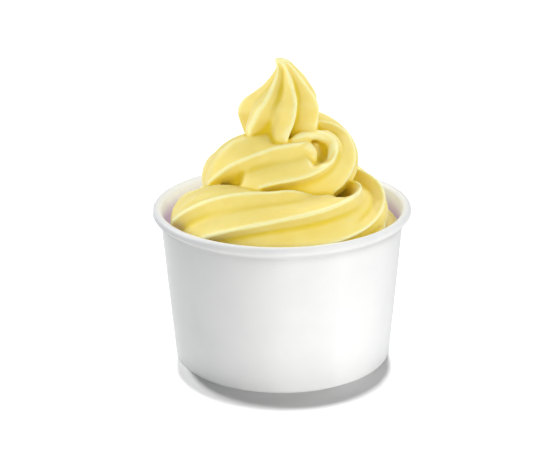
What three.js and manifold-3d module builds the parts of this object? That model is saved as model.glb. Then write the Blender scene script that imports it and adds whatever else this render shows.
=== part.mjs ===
// A squat paper cup filled with a swirl of soft-serve frozen yogurt.
// Millimetres, +Z up. The origin is the centre of the cup's foot, and the front of the swirl faces -Y.
import * as THREE from "three";
import { mergeVertices } from "three/addons/utils/BufferGeometryUtils.js";
import Module from "manifold-3d";

const wasm = await Module();
wasm.setup();

const RAD = Math.PI / 180;
const UP = new THREE.Vector3(0, 0, 1);
const GAP = 0.3; // clearance kept between pieces that touch

// ---- driving dimensions: the paper cup ----
const CUP = {
  rimRadius: 48, // outermost radius of the rolled rim
  beadHeight: 56.4, // height of the middle of the rolled rim
  wallTop: 45.26, // outer radius of the wall where it meets the rolled rim
  wallFoot: 40.72, // outer radius of the wall on the table
  paper: 0.6, // thickness of the coated board
  recess: 5.2, // how far the bottom disc sits above the table
  sides: 72,
  beadSides: 14,
};

// ---- driving dimensions: the rope of yogurt ----
// The coil's angle runs in degrees from the front of the middle turn, anticlockwise seen from above.
// The coil's radius, its height and the rope's radius are given once every quarter turn.
const QUARTER = 90;
const FIRST_KNOT = -450;
const COIL_RADIUS = [31, 31, 31, 31, 30, 28.9, 26.8, 23.4, 17.3, 12.8, 15.7, 22.1, 28];
const COIL_HEIGHT = [36, 39, 43.5, 47.5, 51.2, 54.8, 55.8, 63.2, 68.2, 70.2, 74.4, 86.1, 98.2];
const ROPE_RADIUS = [13.2, 13.2, 13.2, 13.3, 13.6, 13.6, 13.5, 14.0, 14.1, 13.1, 11.8, 12.1, 12.5];
const COIL = {
  start: -430,
  end: 600,
  step: 9, // degrees from one ring to the next
  pieceRings: 5, // rings in each length of rope that is joined on
  axisX: 1.2, // the coils' axis lies this far to the right of the cup's
  lean: 0.151, // rise of the front of a turn for each mm of coil radius
  squash: 0.985, // height of the rope's section over its width
  axisClearance: 0.4, // the inner side of a tight turn stops this far from the axis
};
// The last turn winds in under the peak and thins as it does.
const TUCK = { from: 465, to: 605, height: 82, thinning: 0.3 };

// ---- driving dimensions: the star-shaped section left by the nozzle ----
const STAR = {
  ridges: 6,
  sides: 36,
  depth: 0.31, // depth of the valleys as a share of the radius
  softness: 0.008, // rounds the crest of each ridge
  skew: 1.0, // a ridge drops steeply ahead and gently behind
};
// Azimuth of the front ridge in degrees: a slow drift with each turn and a sway within it.
const RIDGE = { start: -24.6, drift: 23.8, cos1: -4.7, sin1: -16.2, cos2: -4.6, sin2: 20.2 };
// On the left of each turn one ridge is pressed flat: its place and reach round the section, in degrees.
const FLAT = { ridge: -120, full: 37, none: 62, fill: 0.22, rise: [-150, -120], fall: [-50, -90] };

// Places where the rope is filled out or pressed in: each has a coil angle and its reach,
// a section angle and its reach, and the share of the radius that the surface moves to.
const PLACES = [
  [322, 52, -116, 60, 1.25], // shoulder under the front of the peak
  [258, 56, -182, 44, 0.84],
  [-88, 36, -182, 40, 0.86],
  [-40, 40, -92, 34, 1.04], // left end of the lower turn, where two ridges run together
  [299, 22, -36, 26, 0.5], // fold at the lower left of the upper turn
  [322, 30, 0, 30, 0.88],
  [403, 15, -26, 22, 0.6], // mouth of the upper curl
  [420, 22, -30, 36, 0.46], // hollow inside the upper curl
  [432, 28, -62, 36, 0.78],
  [457, 28, 0, 36, 0.94],
  [40, 38, -55, 40, 0.77],
  [62, 30, -28, 34, 0.52], // hollow inside the lower curl
  [68, 46, 38, 25, 0.64], // wide valley to the right of it
];
const PLACE_CORE = 0.3; // share of a place's reach over which it acts in full

// Places where the section swells or shrinks: the same four, and the factor at the middle.
const SWELLS = [
  [-50, 40, -118, 50, 1.14],
  [277, 26, -90, 26, 0.94],
  [274, 26, -64, 26, 1.06],
  [372, 50, -62, 56, 1.11],
  [-35, 32, -62, 30, 1.05],
  [85, 50, 118, 46, 0.85],
  [98, 40, 62, 30, 1.07],
  [25, 80, 7, 15, 1.12],
];
// Places where a ridge leans sideways: the same four, and how far it leans in degrees.
const TWISTS = [
  [12, 66, 0, 48, 5.5],
  [-35, 36, -62, 48, -3],
];

// Two round curls, where ridges of the upper turn run in under the peak.
const CURLS = [
  {
    x: [17.0, 18.2, 18.7, 17.9, 15.6, 12.5, 9.3, 5.9, 2.8],
    y: [-14.4, -11.0, -8.6, -7.0, -6.6, -7.4, -9.2, -11.4, -13.0],
    z: [78.2, 80.0, 82.0, 83.8, 85.4, 86.7, 86.9, 86.4, 84.4],
    radius: [1.0, 1.7, 2.1, 2.1, 2.0, 1.9, 1.9, 1.9, 1.6],
  },
  {
    x: [3.5, 6.2, 8.4, 9.4, 9.2, 7.6],
    y: [-15.2, -13.5, -12.2, -11.8, -12.6, -14.6],
    z: [83.4, 83.4, 82.6, 80.8, 78.8, 77.4],
    radius: [1.5, 2.4, 3.1, 3.4, 3.3, 2.2],
  },
];
const CURL_RINGS = 10;
const CURL_SIDES = 8;

// ---- driving dimensions: the pulled peak, from its foot to its tip ----
const PEAK = {
  height: [76, 82, 88.5, 93, 97, 100, 103, 106.5, 109.5, 112, 113.2],
  offsetX: [-1.0, -1.0, -1.0, -0.9, 0.1, 1.45, 2.2, 2.4, 1.9, 0.6, -0.3],
  radius: [11.2, 13.7, 15.5, 15.7, 14.7, 12.15, 9.2, 6.6, 4.3, 3.1, 2.1],
  azimuth: [4, 8, 14, 20, 21, 19.5, 16, 12, 8, 8, 8], // of its front ridge
  crowdSin: -9.8, // the ridges stand closer together at the front right
  crowdCos: 9.0,
  depth: 0.36,
  rings: 26,
};
// The valleys are deeper at the peak's foot and run out at its tip, between these knots.
const PEAK_FOOT = { from: 1.2, to: 3.5, depth: 0.6, softness: 0.06, skew: 2.2 };
const PEAK_TIP = { from: 8.0, to: 9.6, fill: 0.8 };

// The yogurt is packed in the cup up to this height.
const PACKED_TO = 43;
// The core that the turns close round: radius and height, and how far its axis is set off.
const CORE = [[24, 40], [23, 50], [21, 59], [19, 68], [18, 74], [15.5, 78], [11, 81]];
const CORE_OFFSET = { x: -1.5, y: 2.0 };

function smoothStep(from, to, value) {
  const share = Math.min(Math.max((value - from) / (to - from), 0), 1);
  return share * share * (3 - 2 * share);
}

// A smooth curve through evenly spaced values, read at any place between them.
function curveThrough(values, place) {
  const last = values.length - 1;
  const i = Math.min(Math.max(Math.floor(place), 0), last - 1);
  const f = place - i;
  const b = values[i];
  const c = values[i + 1];
  const a = i > 0 ? values[i - 1] : 2 * b - c;
  const d = i < last - 1 ? values[i + 2] : 2 * c - b;
  return b + 0.5 * f * (c - a + f * (2 * a - 5 * b + 4 * c - d + f * (3 * (b - c) + d - a)));
}

// Unit vector at an azimuth measured from the front.
function outward(degrees) {
  return new THREE.Vector3(Math.sin(degrees * RAD), -Math.cos(degrees * RAD), 0);
}

// ---- paper cup ----
function wallRadius(z) {
  return CUP.wallFoot + ((CUP.wallTop - CUP.wallFoot) * z) / CUP.beadHeight;
}

function innerRadius(z) {
  return wallRadius(z) - CUP.paper;
}

function lathe(profile) {
  const points = profile.map(([radius, height]) => new THREE.Vector2(radius, height));
  const geometry = new THREE.LatheGeometry(points, CUP.sides);
  geometry.rotateX(Math.PI / 2);
  return geometry;
}

// The rolled rim, from where it leaves the outer wall over its top to the inner wall.
function beadArc() {
  const inner = innerRadius(CUP.beadHeight);
  const radius = (CUP.rimRadius - inner) / 2;
  const middle = inner + radius;
  const from = -Math.acos((CUP.wallTop - middle) / radius);
  const arc = [];
  for (let i = 0; i <= CUP.beadSides; i += 1) {
    const angle = from + ((Math.PI - from) * i) / CUP.beadSides;
    arc.push([middle + radius * Math.cos(angle), CUP.beadHeight + radius * Math.sin(angle)]);
  }
  return arc;
}

// The wall's lower edge is folded up inside the skirt of the bottom disc.
function cupBody() {
  const hemOuter = innerRadius(0) - CUP.paper - 2 * GAP;
  const hemInner = hemOuter - CUP.paper;
  const hemTop = CUP.recess - GAP;
  return lathe([
    [wallRadius(0), 0],
    ...beadArc(),
    [innerRadius(CUP.paper), CUP.paper],
    [hemOuter, CUP.paper],
    [hemOuter, hemTop],
    [hemInner, hemTop],
    [hemInner, 0],
    [wallRadius(0), 0],
  ]);
}

function cupBottom() {
  const foot = CUP.paper + GAP;
  const top = CUP.recess + CUP.paper;
  const skirt = (z) => innerRadius(z) - GAP;
  const skirtInner = skirt(foot) - CUP.paper;
  return lathe([
    [0, CUP.recess],
    [skirtInner, CUP.recess],
    [skirtInner, foot],
    [skirt(foot), foot],
    [skirt(top), top],
    [0, top],
  ]);
}

// ---- rope of yogurt ----
// Place and size of the rope at a coil angle.
function ropeAt(angle) {
  const knot = (angle - FIRST_KNOT) / QUARTER;
  const tuck = smoothStep(TUCK.from, TUCK.to, angle);
  const reach = curveThrough(COIL_RADIUS, knot) * (1 - tuck);
  const height = curveThrough(COIL_HEIGHT, knot) * (1 - tuck) + TUCK.height * tuck;
  const axisX = COIL.axisX * (1 - tuck) + PEAK.offsetX[0] * tuck;
  const centre = outward(angle).multiplyScalar(reach);
  centre.x += axisX;
  centre.z = height + COIL.lean * reach * Math.cos(angle * RAD);
  return { centre, axisX, radius: curveThrough(ROPE_RADIUS, knot) * (1 - TUCK.thinning * tuck) };
}

function ridgeAzimuth(angle) {
  const a = angle * RAD;
  const sway1 = RIDGE.cos1 * Math.cos(a) + RIDGE.sin1 * Math.sin(a);
  const sway2 = RIDGE.cos2 * Math.cos(2 * a) + RIDGE.sin2 * Math.sin(2 * a);
  return RIDGE.start + (RIDGE.drift * angle) / 360 + sway1 + sway2;
}

function wrap(degrees) {
  return degrees - 360 * Math.round(degrees / 360);
}

// How flat the section is pressed: 0 where the star shows in full, 1 where it is round.
function flatness(angle, section) {
  const along = smoothStep(...FLAT.rise, wrap(angle)) * smoothStep(...FLAT.fall, wrap(angle));
  const away = Math.abs(wrap(section - FLAT.ridge));
  return along * (1 - smoothStep(FLAT.full, FLAT.none, away));
}

// Share of the full radius round the section: 1 on a ridge, less in a valley.
function starShare(section, flat, { depth, softness, skew }) {
  const turns = (section * STAR.ridges) / 360;
  const place = turns - Math.floor(turns);
  const wave = Math.sin((Math.PI * place * (1 + skew)) / (1 + skew * place));
  const valley = Math.sqrt(wave * wave + softness) - Math.sqrt(softness);
  return 1 - depth * ((1 - flat) * valley + flat * FLAT.fill);
}

// 1 close to the middle of a reach and 0 beyond it.
function near(distance, reach) {
  return 1 - smoothStep(PLACE_CORE * reach, reach, Math.abs(distance));
}

// The same without a level middle: it falls off from the middle itself.
function bell(distance, reach) {
  return 1 - smoothStep(0, reach, Math.abs(distance));
}

function leaning(angle, section) {
  return TWISTS.reduce((turned, [at, reach, turn, width, lean]) => {
    return turned - lean * bell(angle - at, reach) * bell(wrap(turned - turn), width);
  }, section);
}

function ropeShare(angle, section) {
  const star = starShare(leaning(angle, section), flatness(angle, section), STAR);
  const shaped = PLACES.reduce((share, [at, reach, turn, width, target]) => {
    return share + near(angle - at, reach) * near(wrap(section - turn), width) * (target - share);
  }, star);
  return SWELLS.reduce((share, [at, reach, turn, width, factor]) => {
    return share * (1 + bell(angle - at, reach) * bell(wrap(section - turn), width) * (factor - 1));
  }, shaped);
}

// The yogurt is pressed against the paper wherever it would reach through it.
function keepInCup(point) {
  const limit = yogurtWall(point.z);
  const reach = Math.hypot(point.x, point.y);
  if (point.z < CUP.beadHeight && reach > limit) {
    point.x *= limit / reach;
    point.y *= limit / reach;
  }
  return point;
}

function yogurtWall(z) {
  return innerRadius(z) - 1.2 * GAP;
}

function keepOffAxis(point, angle, axisX) {
  const direction = outward(angle);
  const reach = (point.x - axisX) * direction.x + point.y * direction.y;
  return point.addScaledVector(direction, Math.max(COIL.axisClearance - reach, 0));
}

// The nozzle doesn't turn, so the ridges keep their azimuth and only tip over with the rope.
function ropePoint(angle, section) {
  const { centre, axisX, radius } = ropeAt(angle);
  const tangent = ropeAt(angle + 1).centre.sub(ropeAt(angle - 1).centre).normalize();
  const tip = new THREE.Quaternion().setFromUnitVectors(UP, tangent);
  const spoke = outward(ridgeAzimuth(angle) + section).applyQuaternion(tip);
  spoke.z *= COIL.squash;
  const point = centre.addScaledVector(spoke, radius * ropeShare(angle, section));
  return keepInCup(keepOffAxis(point, angle, axisX));
}

// The star of the peak's section, from the deep valleys of its foot to its nearly round tip.
function peakStar(knot) {
  const foot = 1 - smoothStep(PEAK_FOOT.from, PEAK_FOOT.to, knot);
  const fill = PEAK_TIP.fill * smoothStep(PEAK_TIP.from, PEAK_TIP.to, knot);
  return {
    depth: (PEAK.depth + (PEAK_FOOT.depth - PEAK.depth) * foot) * (1 - fill),
    softness: STAR.softness + (PEAK_FOOT.softness - STAR.softness) * foot,
    skew: STAR.skew + (PEAK_FOOT.skew - STAR.skew) * foot,
  };
}

function peakPoint(share, section) {
  const knot = share * (PEAK.height.length - 1);
  const radius = curveThrough(PEAK.radius, knot) * starShare(section, 0, peakStar(knot));
  const turn = section * RAD;
  const crowding = PEAK.crowdSin * Math.sin(turn) + PEAK.crowdCos * (Math.cos(turn) - 1);
  const azimuth = curveThrough(PEAK.azimuth, knot) + section + crowding;
  const point = outward(azimuth).multiplyScalar(radius);
  point.x += curveThrough(PEAK.offsetX, knot);
  point.z = curveThrough(PEAK.height, knot);
  return point;
}

function curlMiddle(curl, knot) {
  return new THREE.Vector3(
    curveThrough(curl.x, knot),
    curveThrough(curl.y, knot),
    curveThrough(curl.z, knot),
  );
}

function curlPoint(curl, share, section) {
  const last = curl.radius.length - 1;
  const knot = share * last;
  const before = curlMiddle(curl, Math.max(knot - 0.05, 0));
  const tangent = curlMiddle(curl, Math.min(knot + 0.05, last)).sub(before).normalize();
  const across = new THREE.Vector3().crossVectors(tangent, UP).normalize();
  const below = new THREE.Vector3().crossVectors(tangent, across);
  const radius = curveThrough(curl.radius, knot);
  return curlMiddle(curl, knot)
    .addScaledVector(across, radius * Math.cos(section * RAD))
    .addScaledVector(below, radius * Math.sin(section * RAD));
}

// A closed tube whose points are placed by a function of the share of its length and the section angle.
function tube(rings, place, sides = STAR.sides) {
  const geometry = new THREE.CylinderGeometry(1, 1, 1, sides, rings);
  const position = geometry.attributes.position;
  for (let i = 0; i < position.count; i += 1) {
    const share = position.getY(i) + 0.5;
    const x = position.getX(i);
    const z = position.getZ(i);
    const isCapCentre = Math.hypot(x, z) < 0.5;
    const point = isCapCentre ? sectionMiddle(share, place, sides) : place(share, Math.atan2(x, z) / RAD);
    position.setXYZ(i, point.x, point.y, point.z);
  }
  return geometry;
}

function sectionMiddle(share, place, sides) {
  const middle = new THREE.Vector3();
  for (let i = 0; i < sides; i += 1) {
    middle.addScaledVector(place(share, (i * 360) / sides), 1 / sides);
  }
  return middle;
}

// ---- joining ----
function toSolid(geometry) {
  const bare = geometry.clone();
  bare.deleteAttribute("normal");
  bare.deleteAttribute("uv");
  const merged = mergeVertices(bare);
  const mesh = new wasm.Mesh({
    numProp: 3,
    vertProperties: new Float32Array(merged.attributes.position.array),
    triVerts: new Uint32Array(merged.index.array),
  });
  return new wasm.Manifold(mesh);
}

function toGeometry(solid) {
  const mesh = solid.getMesh();
  const geometry = new THREE.BufferGeometry();
  geometry.setAttribute("position", new THREE.BufferAttribute(mesh.vertProperties, 3));
  geometry.setIndex(new THREE.BufferAttribute(mesh.triVerts, 1));
  geometry.computeVertexNormals();
  return geometry;
}

function packedYogurt() {
  const floor = CUP.recess + CUP.paper + GAP;
  return lathe([
    [0, floor],
    [yogurtWall(floor), floor],
    [yogurtWall(PACKED_TO), PACKED_TO],
    [0, PACKED_TO],
  ]);
}

function yogurtCore() {
  const core = lathe([[0, CORE[0][1]], ...CORE, [0, CORE.at(-1)[1]]]);
  return core.translate(CORE_OFFSET.x, CORE_OFFSET.y, 0);
}

function frozenYogurt() {
  const solids = [packedYogurt(), yogurtCore(), tube(PEAK.rings, peakPoint)].map(toSolid);
  for (const curl of CURLS) {
    const place = (share, section) => curlPoint(curl, share, section);
    solids.push(toSolid(tube(CURL_RINGS, place, CURL_SIDES)));
  }
  const length = COIL.step * COIL.pieceRings;
  for (let from = COIL.start; from < COIL.end - COIL.step; from += length) {
    const to = Math.min(from + length, COIL.end);
    const rings = Math.round((to - from) / COIL.step);
    const place = (share, section) => ropePoint(from + (to - from) * share, section);
    solids.push(toSolid(tube(rings, place)));
  }
  const joined = solids.reduce((sum, solid) => sum.add(solid));
  // The outside is the largest surface, and any hollow that the turns shut in is left filled.
  const shells = joined.decompose();
  shells.sort((one, other) => other.volume() - one.volume());
  return toGeometry(shells[0]);
}

// ---- scene graph ----
function part(name, geometry, color, roughness) {
  const material = new THREE.MeshStandardMaterial({ color, roughness, metalness: 0 });
  const mesh = new THREE.Mesh(geometry, material);
  mesh.name = name;
  return mesh;
}

const group = new THREE.Group();
group.add(part("cup_body", cupBody(), "#f1f1ef", 0.45));
group.add(part("cup_bottom", cupBottom(), "#ececea", 0.5));
group.add(part("frozen_yogurt", frozenYogurt(), "#f0dc78", 0.4));

export default group;
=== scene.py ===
"""A squat paper cup of soft-serve frozen yogurt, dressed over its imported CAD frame."""
import math

import bpy
import numpy as np
from mathutils import Matrix, Vector


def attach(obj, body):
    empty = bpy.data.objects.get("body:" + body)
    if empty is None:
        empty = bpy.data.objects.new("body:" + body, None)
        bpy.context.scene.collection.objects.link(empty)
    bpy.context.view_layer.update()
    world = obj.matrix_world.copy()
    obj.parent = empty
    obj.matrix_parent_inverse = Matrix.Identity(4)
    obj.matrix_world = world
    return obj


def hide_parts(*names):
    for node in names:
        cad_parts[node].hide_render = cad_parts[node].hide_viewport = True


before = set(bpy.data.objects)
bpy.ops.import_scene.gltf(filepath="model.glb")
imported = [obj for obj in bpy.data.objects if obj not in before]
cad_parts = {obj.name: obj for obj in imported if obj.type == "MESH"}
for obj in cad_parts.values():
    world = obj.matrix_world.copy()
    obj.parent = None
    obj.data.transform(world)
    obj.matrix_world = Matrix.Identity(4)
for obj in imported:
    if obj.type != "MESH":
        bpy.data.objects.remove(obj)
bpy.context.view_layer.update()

MM = 0.001
GAP = 0.3  # clearance kept between pieces that touch

# ---- the paper cup, in millimetres ----
RIM_RADIUS = 48.0  # outermost radius of the rolled rim
BEAD_HEIGHT = 56.4  # height of the middle of the rolled rim
WALL_TOP = 45.26  # outer radius of the wall where it meets the rolled rim
WALL_FOOT = 40.72  # outer radius of the wall on the table
PAPER = 0.6  # thickness of the coated board
RECESS = 5.2  # how far the bottom disc sits above the table
FOOT_EDGE = 0.15  # bevel of the wall's folded edge on the table
DISC_BEND = (1.0, 0.6)  # width and height of the bend from the bottom disc to its skirt
DISC_EDGE = (0.3, 0.2)  # the same for the upper edge of the disc
DISC_DRAFT = 0.02  # the skirt draws in by this much under that edge

# Rows of the wall's profile: from height, to height and how many.
OUTSIDE_ROWS = (1, 53, 14)
LINING_ROWS = (55.5, 48, 8)
INSIDE_ROWS = (46, 3, 14)
RIM_STEPS = 28
RIM_FROM = 2 + OUTSIDE_ROWS[2]
INSIDE_FROM = RIM_FROM + RIM_STEPS
INSIDE_TINT_FROM, INSIDE_TINT_FADE = 0.75, 0.2  # as shares of the way over the rim
LINING_FADE = (49.5, 56.0)  # heights between which the lining's tint fades out

# ---- the rope of yogurt ----
# The coil's angle runs in degrees from the front of the middle turn, anticlockwise seen from above.
# The coil's radius, its height and the rope's radius are given once every quarter turn.
QUARTER = 90.0
FIRST_KNOT = -450.0
COIL_RADIUS = [31, 31, 31, 31, 30, 28.9, 26.8, 23.4, 17.3, 12.8, 15.7, 22.1, 28]
COIL_HEIGHT = [36, 39, 43.5, 47.5, 51.2, 54.8, 55.8, 63.2, 68.2, 70.2, 74.4, 86.1, 98.2]
ROPE_RADIUS = [13.2, 13.2, 13.2, 13.3, 13.6, 13.6, 13.5, 14.0, 14.1, 13.1, 11.8, 12.1, 12.5]
COIL_START, COIL_END = -430.0, 600.0
COIL_AXIS_X = 1.2  # the coils' axis lies this far to the right of the cup's
COIL_LEAN = 0.151  # rise of the front of a turn for each mm of coil radius
SQUASH = 0.985  # height of the rope's section over its width
AXIS_CLEARANCE = 0.4  # the inner side of a tight turn stops this far from the axis
# The last turn winds in under the peak and thins as it does.
TUCK_FROM, TUCK_TO, TUCK_HEIGHT, TUCK_THINNING = 465.0, 605.0, 82.0, 0.3

# ---- the star-shaped section left by the nozzle ----
RIDGES = 6
STAR_DEPTH = 0.31  # depth of the valleys as a share of the radius
STAR_SOFTNESS = 0.008  # rounds the crest of each ridge
STAR_SKEW = 1.0  # a ridge drops steeply ahead and gently behind
# Azimuth of the front ridge in degrees: a slow drift with each turn and a sway within it.
RIDGE_START, RIDGE_DRIFT = -24.6, 23.8
RIDGE_COS1, RIDGE_SIN1, RIDGE_COS2, RIDGE_SIN2 = -4.7, -16.2, -4.6, 20.2
# On the left of each turn one ridge is pressed flat: its place and reach round the section.
FLAT_RIDGE, FLAT_FULL, FLAT_NONE, FLAT_FILL = -120.0, 37.0, 62.0, 0.22
FLAT_RISE = (-150.0, -120.0)
FLAT_FALL = (-50.0, -90.0)

# Places where the rope is filled out or pressed in: each has a coil angle and its reach,
# a section angle and its reach, and the share of the radius that the surface moves to.
PLACES = [
    (322, 52, -116, 60, 1.25),  # shoulder under the front of the peak
    (258, 56, -182, 44, 0.84),
    (-88, 36, -182, 40, 0.86),
    (-40, 40, -92, 34, 1.04),  # left end of the lower turn, where two ridges run together
    (299, 22, -36, 26, 0.50),  # fold at the lower left of the upper turn
    (403, 15, -26, 22, 0.60),  # mouth of the upper curl
    (420, 22, -30, 36, 0.46),  # hollow inside the upper curl
    (432, 28, -62, 36, 0.78),
    (457, 28, 0, 36, 0.94),
    (40, 38, -55, 40, 0.77),
    (62, 30, -28, 34, 0.52),  # hollow inside the lower curl
    (68, 46, 38, 25, 0.64),  # wide valley to the right of it
]
PLACE_CORE = 0.3  # share of a place's reach over which it acts in full

# Places where the section swells or shrinks: the same four, and the factor at the middle.
SWELLS = [
    (-50, 40, -118, 50, 1.14),
    (277, 26, -90, 26, 0.94),
    (274, 26, -64, 26, 1.06),
    (372, 50, -62, 56, 1.11),
    (-35, 32, -62, 30, 1.05),
    (85, 50, 118, 46, 0.85),
    (98, 40, 62, 30, 1.07),
    (25, 80, 7, 15, 1.12),
]
# Places where a ridge leans sideways: the same four, and how far it leans in degrees.
TWISTS = [
    (12, 66, 0, 48, 5.5),
    (-35, 36, -62, 48, -3),
]

# Two round curls, where ridges of the upper turn run in under the peak: x, y, z and radius.
CURLS = [
    (
        [17.0, 18.2, 18.7, 17.9, 15.6, 12.5, 9.3, 5.9, 2.8],
        [-14.4, -11.0, -8.6, -7.0, -6.6, -7.4, -9.2, -11.4, -13.0],
        [78.2, 80.0, 82.0, 83.8, 85.4, 86.7, 86.9, 86.4, 84.4],
        [1.0, 1.7, 2.1, 2.1, 2.0, 1.9, 1.9, 1.9, 1.6],
    ),
    (
        [3.5, 6.2, 8.4, 9.4, 9.2, 7.6],
        [-15.2, -13.5, -12.2, -11.8, -12.6, -14.6],
        [83.4, 83.4, 82.6, 80.8, 78.8, 77.4],
        [1.5, 2.4, 3.1, 3.4, 3.3, 2.2],
    ),
]

# ---- the pulled peak, from its foot to its tip ----
PEAK_HEIGHT = [76, 82, 88.5, 93, 97, 100, 103, 106.5, 109.5, 112, 113.2]
PEAK_OFFSET = [-1.0, -1.0, -1.0, -0.9, 0.1, 1.45, 2.2, 2.4, 1.9, 0.6, -0.3]
PEAK_RADIUS = [11.2, 13.7, 15.5, 15.7, 14.7, 12.15, 9.2, 6.6, 4.3, 3.1, 2.1]
PEAK_AZIMUTH = [4, 8, 14, 20, 21, 19.5, 16, 12, 8, 8, 8]  # of its front ridge
PEAK_CROWD_SIN, PEAK_CROWD_COS = -9.8, 9.0  # the ridges stand closer together at the front right
PEAK_DEPTH = 0.36
# The valleys are deeper at the peak's foot and run out at its tip, between these knots.
PEAK_FOOT = (1.2, 3.5)
PEAK_FOOT_DEPTH, PEAK_FOOT_SOFTNESS, PEAK_FOOT_SKEW = 0.60, 0.06, 2.2
PEAK_TIP = (8.0, 9.6)
PEAK_TIP_FILL = 0.8

# ---- the filling, and the core that the turns close round: (radius, height) ----
PACKED_TO = 43.0
PACKED_GAP = 1.2 * GAP
CORE = [(24, 40), (23, 50), (21, 59), (19, 68), (18, 74), (15.5, 78), (11, 81)]
CORE_OFFSET = (-1.5, 2.0)

# ---- fineness of the dressed meshes ----
RING_STEP = 1.5  # degrees of coil between rings
PIECE_ANGLE = 45.0  # degrees of coil in each length of rope
SECTION_SIDES = 144
PEAK_RINGS = 120
CURL_RINGS, CURL_SIDES = 40, 32
CUP_SIDES = 256
VOXEL = 0.4
RELAX_FACTOR, RELAX_STEPS = 0.5, 3
FOLD_STEPS = {"fold_fine": 8, "fold_broad": 60}  # rounds of smoothing that a fold is measured from


# ---------------------------------------------------------------- curves and small maths
def smooth_step(start, end, value):
    share = np.clip((value - start) / (end - start), 0.0, 1.0)
    return share * share * (3.0 - 2.0 * share)


def bell(distance, reach):
    return 1 - smooth_step(0, reach, np.abs(distance))


def curve_through(values, place):
    """A smooth curve through evenly spaced values, read at any place between them."""
    v = np.asarray(values, float)
    v = np.concatenate([[2 * v[0] - v[1]], v, [2 * v[-1] - v[-2]]])
    i = np.clip(np.floor(place).astype(int), 0, len(values) - 2)
    f = place - i
    a, b, c, d = v[i], v[i + 1], v[i + 2], v[i + 3]
    return b + 0.5 * f * (c - a + f * (2 * a - 5 * b + 4 * c - d + f * (3 * (b - c) + d - a)))


def outward(degrees):
    """Unit vectors at azimuths measured from the front."""
    a = np.radians(degrees)
    return np.stack([np.sin(a), -np.cos(a), np.zeros_like(a)], -1)


def wrap(degrees):
    return degrees - 360.0 * np.round(degrees / 360.0)


def wall_radius(z):
    return WALL_FOOT + (WALL_TOP - WALL_FOOT) * z / BEAD_HEIGHT


def inner_radius(z):
    return wall_radius(z) - PAPER


def packed_radius(z):
    return inner_radius(z) - PACKED_GAP


def skirt_radius(z):
    return inner_radius(z) - GAP


# ---------------------------------------------------------------- mesh helpers
def shade_smooth(mesh):
    mesh.polygons.foreach_set("use_smooth", [True] * len(mesh.polygons))


def new_object(name, verts, faces):
    mesh = bpy.data.meshes.new(name)
    mesh.from_pydata((np.asarray(verts) * MM).tolist(), [], faces)
    mesh.update()
    obj = bpy.data.objects.new(name, mesh)
    bpy.context.scene.collection.objects.link(obj)
    shade_smooth(mesh)
    return obj


def mark_points(mesh, name, values):
    mesh.attributes.new(name, "FLOAT", "POINT").data.foreach_set("value", values)


def tube_mesh(rings):
    """Vertices and faces of a closed tube from its rings, a (count, sides, 3) array."""
    count, sides, _ = rings.shape
    verts = np.concatenate([rings.reshape(-1, 3), [rings[0].mean(0), rings[-1].mean(0)]])
    j = np.arange(sides)
    jn = (j + 1) % sides
    row = np.arange(count - 1)[:, None] * sides
    quads = np.stack([row + j, row + jn, row + sides + jn, row + sides + j], -1).reshape(-1, 4)
    low, high = count * sides, count * sides + 1
    top = (count - 1) * sides
    faces = quads.tolist()
    faces += np.stack([np.full(sides, low), jn, j], -1).tolist()
    faces += np.stack([np.full(sides, high), top + j, top + jn], -1).tolist()
    return verts, faces


def lathe_mesh(profile, sides, closed=False):
    """Turns a profile of (radius, height) about the axis; a closed one joins its ends."""
    a = np.linspace(0, 2 * np.pi, sides, endpoint=False)
    p = np.asarray(profile, float)
    x = p[None, :, 0] * np.cos(a)[:, None]
    y = p[None, :, 0] * np.sin(a)[:, None]
    z = np.broadcast_to(p[None, :, 1], x.shape)
    verts = np.stack([x, y, z], -1).reshape(-1, 3)
    n = len(p)
    k = np.arange(n if closed else n - 1)
    i = np.arange(sides)[:, None]
    nxt = ((i + 1) % sides) * n
    kn = (k + 1) % n
    quads = np.stack([i * n + k, nxt + k, nxt + kn, i * n + kn], -1).reshape(-1, 4)
    return verts, quads.tolist()


# ---------------------------------------------------------------- the yogurt
def rope_at(angle):
    """Centre, axis and radius of the rope at coil angles."""
    knot = (angle - FIRST_KNOT) / QUARTER
    tuck = smooth_step(TUCK_FROM, TUCK_TO, angle)
    reach = curve_through(COIL_RADIUS, knot) * (1 - tuck)
    height = curve_through(COIL_HEIGHT, knot) * (1 - tuck) + TUCK_HEIGHT * tuck
    axis_x = COIL_AXIS_X * (1 - tuck) + PEAK_OFFSET[0] * tuck
    centre = outward(angle) * reach[..., None]
    centre[..., 0] += axis_x
    centre[..., 2] = height + COIL_LEAN * reach * np.cos(np.radians(angle))
    return centre, axis_x, curve_through(ROPE_RADIUS, knot) * (1 - TUCK_THINNING * tuck)


def ridge_azimuth(angle):
    a = np.radians(angle)
    sway = RIDGE_COS1 * np.cos(a) + RIDGE_SIN1 * np.sin(a)
    sway += RIDGE_COS2 * np.cos(2 * a) + RIDGE_SIN2 * np.sin(2 * a)
    return RIDGE_START + RIDGE_DRIFT * angle / 360.0 + sway


def flatness(angle, section):
    along = smooth_step(*FLAT_RISE, wrap(angle)) * smooth_step(*FLAT_FALL, wrap(angle))
    return along * (1 - smooth_step(FLAT_FULL, FLAT_NONE, np.abs(wrap(section - FLAT_RIDGE))))


def star_share(section, flat, depth=STAR_DEPTH, softness=STAR_SOFTNESS, skew=STAR_SKEW):
    """Share of the full radius: 1 on a ridge, which drops steeply ahead and gently behind."""
    place = (section * RIDGES / 360.0) % 1.0
    wave = np.sin(np.pi * place * (1 + skew) / (1 + skew * place))
    valley = np.sqrt(wave * wave + softness) - np.sqrt(softness)
    return 1 - depth * ((1 - flat) * valley + flat * FLAT_FILL)


def leaning(angle, section):
    """The section angle that is read for the star, where a ridge leans sideways."""
    for at, reach, turn, half, lean in TWISTS:
        section = section - lean * bell(angle - at, reach) * bell(wrap(section - turn), half)
    return section


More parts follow.
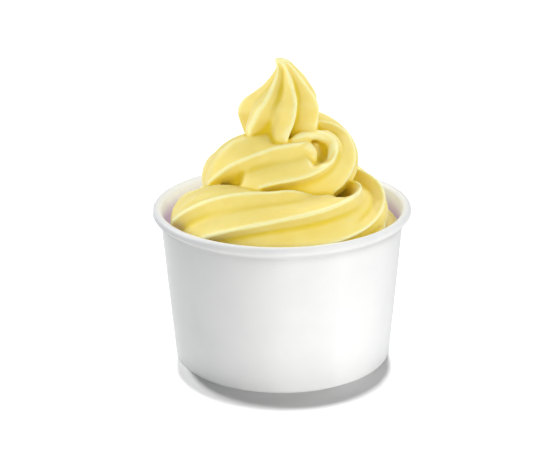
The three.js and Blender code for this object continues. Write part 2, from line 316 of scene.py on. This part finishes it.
def shaped(share, angle, section):
    """Moves the share of the radius towards what each place and swell asks for."""
    for at, reach, turn, half, target in PLACES:
        along = 1 - smooth_step(PLACE_CORE * reach, reach, np.abs(angle - at))
        across = 1 - smooth_step(PLACE_CORE * half, half, np.abs(wrap(section - turn)))
        share = share + along * across * (target - share)
    for at, reach, turn, half, factor in SWELLS:
        share = share * (1 + bell(angle - at, reach) * bell(wrap(section - turn), half) * (factor - 1))
    return share


def tip_over(tangent, vectors):
    """The smallest turn that takes +Z to the tangent, applied to the vectors."""
    axis = np.cross(np.broadcast_to([0.0, 0.0, 1.0], tangent.shape), tangent)
    cosine = tangent[..., 2:3]
    along = np.sum(axis * vectors, -1, keepdims=True)
    return vectors * cosine + np.cross(axis, vectors) + axis * along / (1 + cosine)


def keep_in_cup(points):
    limit = packed_radius(points[..., 2])
    reach = np.hypot(points[..., 0], points[..., 1])
    pressed = (points[..., 2] < BEAD_HEIGHT) & (reach > limit)
    points[..., :2] *= np.where(pressed, limit / np.maximum(reach, 1e-6), 1.0)[..., None]
    return points


def rope_rings(start, end):
    angles = np.linspace(start, end, int(round((end - start) / RING_STEP)) + 1)
    sections = np.arange(SECTION_SIDES) * 360.0 / SECTION_SIDES
    angle, section = np.meshgrid(angles, sections, indexing="ij")
    centre, axis_x, radius = rope_at(angle)
    tangent = rope_at(angle + 1)[0] - rope_at(angle - 1)[0]
    tangent /= np.linalg.norm(tangent, axis=-1, keepdims=True)
    spoke = tip_over(tangent, outward(ridge_azimuth(angle) + section))
    spoke[..., 2] *= SQUASH
    star = star_share(leaning(angle, section), flatness(angle, section))
    share = shaped(star, angle, section)
    points = centre + spoke * (radius * share)[..., None]
    direction = outward(angle)
    reach = (points[..., 0] - axis_x) * direction[..., 0] + points[..., 1] * direction[..., 1]
    points += direction * np.maximum(AXIS_CLEARANCE - reach, 0)[..., None]
    return keep_in_cup(points)


def peak_rings():
    knot = np.linspace(0, len(PEAK_HEIGHT) - 1, PEAK_RINGS)[:, None]
    section = np.arange(SECTION_SIDES)[None, :] * 360.0 / SECTION_SIDES
    foot = 1 - smooth_step(*PEAK_FOOT, knot)
    depth = PEAK_DEPTH + (PEAK_FOOT_DEPTH - PEAK_DEPTH) * foot
    depth = depth * (1 - PEAK_TIP_FILL * smooth_step(*PEAK_TIP, knot))
    softness = STAR_SOFTNESS + (PEAK_FOOT_SOFTNESS - STAR_SOFTNESS) * foot
    skew = STAR_SKEW + (PEAK_FOOT_SKEW - STAR_SKEW) * foot
    radius = curve_through(PEAK_RADIUS, knot) * star_share(section, 0.0, depth, softness, skew)
    turn = np.radians(section)
    crowding = PEAK_CROWD_SIN * np.sin(turn) + PEAK_CROWD_COS * (np.cos(turn) - 1)
    azimuth = curve_through(PEAK_AZIMUTH, knot) + section + crowding
    points = outward(azimuth) * radius[..., None]
    points[..., 0] += curve_through(PEAK_OFFSET, knot)
    points[..., 2] = curve_through(PEAK_HEIGHT, knot)
    return points


def curl_rings(x, y, z, radii):
    """A short round curl through its points, swept with its own radius."""
    knot = np.linspace(0, len(radii) - 1, CURL_RINGS)
    path = np.stack([curve_through(values, knot) for values in (x, y, z)], -1)
    tangent = np.gradient(path, axis=0)
    tangent /= np.linalg.norm(tangent, axis=-1, keepdims=True)
    across = np.cross(tangent, [0.0, 0.0, 1.0])
    across /= np.linalg.norm(across, axis=-1, keepdims=True)
    below = np.cross(tangent, across)
    turn = np.arange(CURL_SIDES) * 2 * np.pi / CURL_SIDES
    radius = curve_through(radii, knot)[:, None, None]
    ring = across[:, None] * np.cos(turn)[None, :, None] + below[:, None] * np.sin(turn)[None, :, None]
    return path[:, None] + ring * radius


def filling_mesh():
    floor = RECESS + PAPER + GAP
    side = [(packed_radius(z), z) for z in (floor, PACKED_TO)]
    return lathe_mesh([(0, floor), *side, (0, PACKED_TO)], SECTION_SIDES)


def core_mesh():
    profile = [(0, CORE[0][1]), *CORE, (0, CORE[-1][1])]
    points, faces = lathe_mesh(profile, SECTION_SIDES)
    points[:, :2] += CORE_OFFSET
    return points, faces


def yogurt_shape():
    """The filling, the core, the peak, the curls and the rope, joined to one voxel mesh."""
    shapes = [filling_mesh(), core_mesh(), tube_mesh(peak_rings())]
    shapes += [tube_mesh(curl_rings(*curl)) for curl in CURLS]
    start = COIL_START
    while start < COIL_END - RING_STEP:
        end = min(start + PIECE_ANGLE, COIL_END)
        shapes.append(tube_mesh(rope_rings(start, end)))
        start = end
    verts, faces, base = [], [], 0
    for v, f in shapes:
        verts.append(v)
        faces += [[base + i for i in face] for face in f]
        base += len(v)
    obj = new_object("yogurt_swirl", np.concatenate(verts), faces)
    remesh = obj.modifiers.new("join", "REMESH")
    remesh.mode = "VOXEL"
    remesh.voxel_size = VOXEL * MM
    remesh.use_smooth_shade = True
    relax = obj.modifiers.new("relax", "SMOOTH")
    relax.factor = RELAX_FACTOR
    relax.iterations = RELAX_STEPS
    return obj


def apply_modifiers(obj):
    bpy.context.view_layer.update()
    depsgraph = bpy.context.evaluated_depsgraph_get()
    mesh = bpy.data.meshes.new_from_object(obj.evaluated_get(depsgraph))
    obj.modifiers.clear()
    old = obj.data
    obj.data = mesh
    bpy.data.meshes.remove(old)
    shade_smooth(mesh)


def neighbour_mean(values, edges, degree):
    mean = np.empty_like(values)
    for axis in range(values.shape[1]):
        column = values[:, axis]
        mean[:, axis] = np.bincount(edges[:, 0], column[edges[:, 1]], len(values))
        mean[:, axis] += np.bincount(edges[:, 1], column[edges[:, 0]], len(values))
    return mean / degree[:, None]


def mark_folds(obj):
    """Stores how far each point stands above (+) or below (-) its smoothed surroundings."""
    mesh = obj.data
    count = len(mesh.vertices)
    points = np.empty(count * 3)
    mesh.vertices.foreach_get("co", points)
    points = points.reshape(-1, 3) / MM
    normals = np.empty(count * 3)
    mesh.vertex_normals.foreach_get("vector", normals)
    normals = normals.reshape(-1, 3)
    edges = np.empty(len(mesh.edges) * 2, np.int64)
    mesh.edges.foreach_get("vertices", edges)
    edges = edges.reshape(-1, 2)
    degree = np.bincount(edges.ravel(), minlength=count).astype(float)
    smoothed = points
    for step in range(max(FOLD_STEPS.values())):
        smoothed = neighbour_mean(smoothed, edges, degree)
        for name, steps in FOLD_STEPS.items():
            if steps == step + 1:
                mark_points(mesh, name, np.sum((points - smoothed) * normals, -1))


# ---------------------------------------------------------------- the paper cup
def rim_arc():
    inner = inner_radius(BEAD_HEIGHT)
    radius = (RIM_RADIUS - inner) / 2
    middle = inner + radius
    start = -math.acos((WALL_TOP - middle) / radius)
    angles = np.linspace(start, math.pi, RIM_STEPS + 1)
    return [(middle + radius * math.cos(a), BEAD_HEIGHT + radius * math.sin(a)) for a in angles]


def cup_wall():
    """The wall, its rolled rim and the edge folded in under the bottom disc's skirt."""
    hem_outer = inner_radius(0) - PAPER - 2 * GAP
    hem_inner = hem_outer - PAPER
    hem_top = RECESS - GAP
    profile = [(wall_radius(0) - FOOT_EDGE, 0.0), (wall_radius(0), FOOT_EDGE)]
    profile += [(wall_radius(z), z) for z in np.linspace(*OUTSIDE_ROWS)]
    profile += rim_arc()
    profile += [(inner_radius(z), z) for z in np.linspace(*LINING_ROWS)]
    profile += [(inner_radius(z), z) for z in np.linspace(*INSIDE_ROWS)]
    profile += [(inner_radius(PAPER), PAPER), (hem_outer, PAPER), (hem_outer, hem_top)]
    profile += [(hem_inner, hem_top), (hem_inner, FOOT_EDGE), (hem_inner + FOOT_EDGE, 0.0)]
    heights = np.array([z for _, z in profile])
    lining = 1 - smooth_step(*LINING_FADE, heights)
    lining[:INSIDE_FROM] = 0
    tint_from = RIM_FROM + INSIDE_TINT_FROM * RIM_STEPS
    inside = smooth_step(tint_from, tint_from + INSIDE_TINT_FADE * RIM_STEPS, np.arange(len(profile)))
    obj = new_object("cup_wall", *lathe_mesh(profile, CUP_SIDES, closed=True))
    for name, values in (("lining", lining), ("inside", inside)):
        values[heights <= PAPER] = 0
        mark_points(obj.data, name, np.tile(values, CUP_SIDES))
    return obj


def cup_base():
    """The bottom disc with its skirt."""
    foot, top = PAPER + GAP, RECESS + PAPER
    inner = skirt_radius(foot) - PAPER
    profile = [(0.0, RECESS), (inner - DISC_BEND[0], RECESS), (inner, RECESS - DISC_BEND[1])]
    profile += [(inner, foot), (skirt_radius(foot), foot)]
    profile += [(skirt_radius(top) - DISC_DRAFT, top - DISC_EDGE[1])]
    profile += [(skirt_radius(top) - DISC_EDGE[0], top), (0.0, top)]
    return new_object("cup_base", *lathe_mesh(profile, CUP_SIDES))


# ---------------------------------------------------------------- materials
class Nodes:
    """Small helper that adds and links the nodes of one material."""

    def __init__(self, name):
        self.mat = bpy.data.materials.new(name)
        self.mat.use_nodes = True
        self.tree = self.mat.node_tree
        self.shader = self.tree.nodes["Principled BSDF"]

    def add(self, kind, **settings):
        node = self.tree.nodes.new(kind)
        for key, value in settings.items():
            setattr(node, key, value)
        return node

    def join(self, value, socket):
        if isinstance(value, bpy.types.NodeSocket):
            self.tree.links.new(value, socket)
        else:
            socket.default_value = value

    def finish(self, settings):
        """Sets what is the same all over the surface on the shader's own sockets."""
        for name, value in settings.items():
            self.shader.inputs[name].default_value = value
        return self.mat

    def attribute(self, name):
        return self.add("ShaderNodeAttribute", attribute_name=name).outputs["Fac"]

    def place(self):
        """Position on the piece in millimetres."""
        coords = self.add("ShaderNodeTexCoord").outputs["Object"]
        scale = self.add("ShaderNodeVectorMath", operation="SCALE")
        self.join(coords, scale.inputs[0])
        scale.inputs["Scale"].default_value = 1 / MM
        return scale.outputs[0]

    def openness(self, reach):
        """How open the surface is within a reach in millimetres: low in a deep fold."""
        node = self.add("ShaderNodeAmbientOcclusion", samples=8, only_local=True)
        node.inputs["Distance"].default_value = reach * MM
        return node.outputs["AO"]

    def noise(self, place, size, detail=2.0, roughness=0.5):
        node = self.add("ShaderNodeTexNoise")
        self.join(place, node.inputs["Vector"])
        node.inputs["Scale"].default_value = 1 / size
        node.inputs["Detail"].default_value = detail
        node.inputs["Roughness"].default_value = roughness
        return node.outputs["Fac"]

    def cells(self, place, size):
        node = self.add("ShaderNodeTexVoronoi")
        self.join(place, node.inputs["Vector"])
        node.inputs["Scale"].default_value = 1 / size
        return node.outputs["Distance"], node.outputs["Color"]

    def remap(self, value, band, to=(0.0, 1.0), smooth=True):
        node = self.add("ShaderNodeMapRange", interpolation_type="SMOOTHSTEP" if smooth else "LINEAR")
        self.join(value, node.inputs["Value"])
        for socket, number in zip(("From Min", "From Max", "To Min", "To Max"), (*band, *to)):
            node.inputs[socket].default_value = number
        return node.outputs["Result"]

    def larger(self, a, b):
        node = self.add("ShaderNodeMath", operation="MAXIMUM")
        self.join(a, node.inputs[0])
        self.join(b, node.inputs[1])
        return node.outputs[0]

    def mix(self, share, a, b):
        node = self.add("ShaderNodeMix", data_type="RGBA")
        self.join(share, node.inputs[0])
        self.join(a, node.inputs[6])
        self.join(b, node.inputs[7])
        return node.outputs[2]

    def bump(self, height, depth, normal=None):
        node = self.add("ShaderNodeBump")
        self.join(height, node.inputs["Height"])
        node.inputs["Strength"].default_value = 1.0
        node.inputs["Distance"].default_value = depth * MM
        if normal is not None:
            self.join(normal, node.inputs["Normal"])
        return node.outputs["Normal"]


# Bands of a value that a tint, a bump or the roughness runs over. Sizes, reaches and depths are in mm.
CLOUD_BAND = (0.35, 0.7)
GRAIN_BAND = (0.3, 0.7)

YOGURT_FACE = (0.89, 0.73, 0.19, 1)
# Painted highlight: a paler colour laid along the crests of the ridges.
YOGURT_CREST_HIGHLIGHT = (0.97, 0.90, 0.50, 1)
# Painted shade: a darker yellow laid in the folds between the ridges.
YOGURT_FOLD_SHADE = (0.80, 0.62, 0.035, 1)
YOGURT_MOTTLE = (0.91, 0.76, 0.23, 1)
# Painted shade: a darker yellow laid where the surface is closed in, deep in the folds.
YOGURT_DEEP_SHADE = (0.88, 0.70, 0.01, 1)
# Bands of the fold measures over which the painted crest highlight comes in.
BROAD_CREST, BROAD_CREST_SHARE = (0.15, 0.8), 0.5
FINE_CREST, FINE_CREST_SHARE = (0.015, 0.14), 0.85
# Band of the fold measure over which the painted fold shade comes in.
FOLD = (-0.08, -0.6)
# Reach, band and share of the painted shade in deep folds.
DEEP_REACH, DEEP, DEEP_SHARE = 7.0, (0.15, 0.75), 0.85
MOTTLE_SIZE = 9.0
WAVE_SIZE, WAVE_DEPTH = 5.0, 0.35
GRAIN_SIZE, GRAIN_DEPTH = 0.5, 0.05
PIT_SPACING, PIT_DEPTH = 3.2, 0.12
PIT_EDGE = (0.04, 0.10)
PIT_CHOICE = (0.84, 0.86)  # only some of the cells hold a pit
YOGURT_ROUGHNESS = (0.46, 0.6)
YOGURT_SHADER = {
    "Subsurface Weight": 0.5,
    "Subsurface Radius": (1.0, 0.9, 0.3),
    "Subsurface Scale": 0.003,
    "Specular IOR Level": 0.4,
    "Sheen Weight": 0.15,
    "Sheen Roughness": 0.5,
}


def yogurt_material():
    n = Nodes("yogurt_cream")
    place = n.place()
    # Painted highlight: crests, found from the fold measures, are mixed towards a paler colour.
    crest = n.remap(n.attribute("fold_broad"), BROAD_CREST, (0.0, BROAD_CREST_SHARE))
    fine_crest_highlight = n.remap(n.attribute("fold_fine"), FINE_CREST, (0.0, FINE_CREST_SHARE))
    # Painted shade: points below their smoothed surroundings are mixed towards a darker yellow.
    fold = n.remap(n.attribute("fold_broad"), FOLD)
    mottle = n.remap(n.noise(place, MOTTLE_SIZE, 3.0), CLOUD_BAND)
    # Painted shade: where the ambient-occlusion node finds the surface closed in, the colour darkens.
    deep = n.remap(n.openness(DEEP_REACH), DEEP, (DEEP_SHARE, 0.0))
    colour = n.mix(mottle, YOGURT_FACE, YOGURT_MOTTLE)
    colour = n.mix(fold, colour, YOGURT_FOLD_SHADE)
    colour = n.mix(n.larger(crest, fine_crest_highlight), colour, YOGURT_CREST_HIGHLIGHT)
    colour = n.mix(deep, colour, YOGURT_DEEP_SHADE)
    n.join(colour, n.shader.inputs["Base Color"])
    grain = n.noise(place, GRAIN_SIZE, 3.0, 0.6)
    n.join(n.remap(grain, GRAIN_BAND, YOGURT_ROUGHNESS, False), n.shader.inputs["Roughness"])
    distance, cell = n.cells(place, PIT_SPACING)
    pits = n.mix(n.remap(cell, PIT_CHOICE), (1, 1, 1, 1), n.remap(distance, PIT_EDGE))
    normal = n.bump(n.noise(place, WAVE_SIZE), WAVE_DEPTH)
    normal = n.bump(grain, GRAIN_DEPTH, normal)
    normal = n.bump(pits, PIT_DEPTH, normal)
    n.join(normal, n.shader.inputs["Normal"])
    return n.finish(YOGURT_SHADER)


PAPER_WHITE = (0.87, 0.87, 0.86, 1)
PAPER_CLOUD = (0.84, 0.845, 0.835, 1)
# Painted shade: a grey laid where the paper is closed in, as just under the rolled rim.
PAPER_SHADE = (0.52, 0.53, 0.54, 1)
INSIDE_TINT = (0.79, 0.84, 1.0, 1)
LINING_TINT = (0.58, 0.49, 0.73, 1)
CLOUD_SIZE = 14.0
# Reach, band and share of the painted shade on the paper.
SHADE_REACH, SHADE, SHADE_SHARE = 4.0, (0.5, 1.0), 0.6
FIBRE_SIZE, FIBRE_DEPTH = 0.8, 0.012
BUCKLE_SIZE, BUCKLE_DEPTH = 7.0, 0.08
PAPER_ROUGHNESS = (0.36, 0.48)
PAPER_SHADER = {"Specular IOR Level": 0.4}


def paper_material():
    n = Nodes("cup_board")
    place = n.place()
    cloud = n.remap(n.noise(place, CLOUD_SIZE, 4.0), CLOUD_BAND)
    # Painted shade: where the ambient-occlusion node finds the paper closed in, it is greyed.
    shade = n.remap(n.openness(SHADE_REACH), SHADE, (SHADE_SHARE, 0.0))
    colour = n.mix(cloud, PAPER_WHITE, PAPER_CLOUD)
    colour = n.mix(n.attribute("inside"), colour, INSIDE_TINT)
    colour = n.mix(n.attribute("lining"), colour, LINING_TINT)
    colour = n.mix(shade, colour, PAPER_SHADE)
    n.join(colour, n.shader.inputs["Base Color"])
    fibre = n.noise(place, FIBRE_SIZE, 4.0, 0.6)
    n.join(n.remap(fibre, GRAIN_BAND, PAPER_ROUGHNESS, False), n.shader.inputs["Roughness"])
    normal = n.bump(n.noise(place, BUCKLE_SIZE), BUCKLE_DEPTH)
    normal = n.bump(fibre, FIBRE_DEPTH, normal)
    n.join(normal, n.shader.inputs["Normal"])
    return n.finish(PAPER_SHADER)


# ---------------------------------------------------------------- build
swirl = yogurt_shape()
apply_modifiers(swirl)
mark_folds(swirl)
swirl.data.materials.append(yogurt_material())
wall = cup_wall()
base = cup_base()
board = paper_material()
wall.data.materials.append(board)
base.data.materials.append(board)

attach(swirl, "root")
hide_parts("frozen_yogurt")
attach(wall, "root")
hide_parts("cup_body")
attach(base, "root")
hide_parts("cup_bottom")

# ---------------------------------------------------------------- floor and camera
FLOOR_HALF = 3000.0
FLOOR_SHADER = {"Roughness": 0.55, "Base Color": (0.9, 0.9, 0.9, 1)}

FRAME_WIDTH = 560
FOCAL_PIXELS = 1605.3
SENSOR = 36.0
CAMERA_DISTANCE = 0.6
CAMERA_ELEVATION = math.radians(20.27)
CAMERA_ROLL = math.radians(-0.403)
CAMERA_TARGET = Vector((-0.00073, 0.0, 0.0456))


def floor_plane():
    h = FLOOR_HALF
    obj = new_object("floor", [(-h, -h, 0), (h, -h, 0), (h, h, 0), (-h, h, 0)], [(0, 1, 2, 3)])
    obj.data.materials.append(Nodes("floor_white").finish(FLOOR_SHADER))
    return obj


def place_camera():
    data = bpy.data.cameras.new("camera")
    data.sensor_width = SENSOR
    data.lens = FOCAL_PIXELS / FRAME_WIDTH * SENSOR
    cam = bpy.data.objects.new("camera", data)
    bpy.context.scene.collection.objects.link(cam)
    back = Vector((0, -math.cos(CAMERA_ELEVATION), math.sin(CAMERA_ELEVATION)))
    level = Vector((1, 0, 0))
    upright = back.cross(level)
    right = level * math.cos(CAMERA_ROLL) + upright * math.sin(CAMERA_ROLL)
    up = upright * math.cos(CAMERA_ROLL) - level * math.sin(CAMERA_ROLL)
    place = CAMERA_TARGET + back * CAMERA_DISTANCE
    axes = Matrix((right, up, back)).transposed().to_4x4()
    cam.matrix_world = Matrix.Translation(place) @ axes
    bpy.context.scene.camera = cam


# ---------------------------------------------------------------- lamps
# Each group of soft lamps lights only its own pieces, like flagged studio lights.
WORLD_STRENGTH = 0.1
LAMP_AIM = Vector((0, 0, 0.06))
LAMP_DISTANCE = 0.65
SUN_WIDTH = 10  # degrees
SWIRL_LAMP_SIZE, CUP_LAMP_SIZE, LOW_LAMP_SIZE = 0.45, 0.4, 0.1
WHITE, COOL, COOLER = (1, 1, 1), (0.9, 0.95, 1.0), (0.86, 0.93, 1.0)

# Name, place that the light comes from, strength.
FLOOR_SUNS = [
    ("floor_sun", (0, 0.94, 0.40), 2.96),
    ("floor_left", (-0.35, 0.88, 0.42), 3.10),
    ("floor_right", (0.65, 0.65, 0.42), 0.41),
]
# Name, azimuth from the front and elevation in degrees, power in watts.
SWIRL_LAMPS = [
    ("swirl_front", 15, 15, 1.12),
    ("swirl_front_left", -15, 20, 0.77),
    ("swirl_left", -45, 20, 0.79),
    ("swirl_far_left", -100, 30, 2.19),
    ("swirl_right", 85, 25, 2.10),
    ("swirl_back", 160, 50, 2.08),
]
# The same and a colour.
CUP_LAMPS = [
    ("cup_key", 39, 43, 2.55, WHITE),
    ("cup_right", 110, 45, 1.20, COOL),
    ("cup_left", -95, 30, 1.00, COOLER),
    ("cup_back", -125, 40, 1.85, WHITE),
]
# Name, place and power: these stand in for light thrown back by the table.
LOW_LAMPS = [
    ("cup_low", (0.05, -0.12, -0.03), 0.044),
    ("cup_foot", (0.02, -0.20, -0.10), 0.100),
]


def around(azimuth, elevation):
    """A place for a lamp, at angles in degrees measured from the front and the floor."""
    a, e = math.radians(azimuth), math.radians(elevation)
    reach = LAMP_DISTANCE * math.cos(e)
    return LAMP_AIM + Vector((reach * math.sin(a), -reach * math.cos(a), LAMP_DISTANCE * math.sin(e)))


def collect(name, objects):
    group = bpy.data.collections.new(name)
    for obj in objects:
        group.objects.link(obj)
    return group


def light(name, data, place, power, receivers, blockers=(), colour=WHITE):
    """A lamp aimed at the cup that lights only the receivers, shaded by the blockers."""
    data.energy = power
    data.color = colour
    obj = bpy.data.objects.new(name, data)
    bpy.context.scene.collection.objects.link(obj)
    obj.location = place
    obj.rotation_euler = (LAMP_AIM - Vector(place)).to_track_quat("-Z", "Y").to_euler()
    obj.light_linking.receiver_collection = collect(name + "_lit", receivers)
    if blockers:
        obj.light_linking.blocker_collection = collect(name + "_shade", blockers)


def sun(name):
    data = bpy.data.lights.new(name, "SUN")
    data.angle = math.radians(SUN_WIDTH)
    return data


def disk(name, size):
    data = bpy.data.lights.new(name, "AREA")
    data.shape = "DISK"
    data.size = size
    return data


def world_light():
    world = bpy.data.worlds.new("studio")
    world.use_nodes = True
    background = world.node_tree.nodes["Background"]
    background.inputs["Color"].default_value = (1, 1, 1, 1)
    background.inputs["Strength"].default_value = WORLD_STRENGTH
    bpy.context.scene.world = world


floor = floor_plane()
place_camera()
world_light()
paper = [wall, base]
for name, place, power in FLOOR_SUNS:
    light(name, sun(name), place, power, [floor], [base])
for name, azimuth, elevation, power in SWIRL_LAMPS:
    light(name, disk(name, SWIRL_LAMP_SIZE), around(azimuth, elevation), power, [swirl])
for name, azimuth, elevation, power, colour in CUP_LAMPS:
    light(name, disk(name, CUP_LAMP_SIZE), around(azimuth, elevation), power, paper, paper, colour)
for name, place, power in LOW_LAMPS:
    light(name, disk(name, LOW_LAMP_SIZE), place, power, paper, paper)
bpy.context.scene.view_settings.view_transform = "Standard"
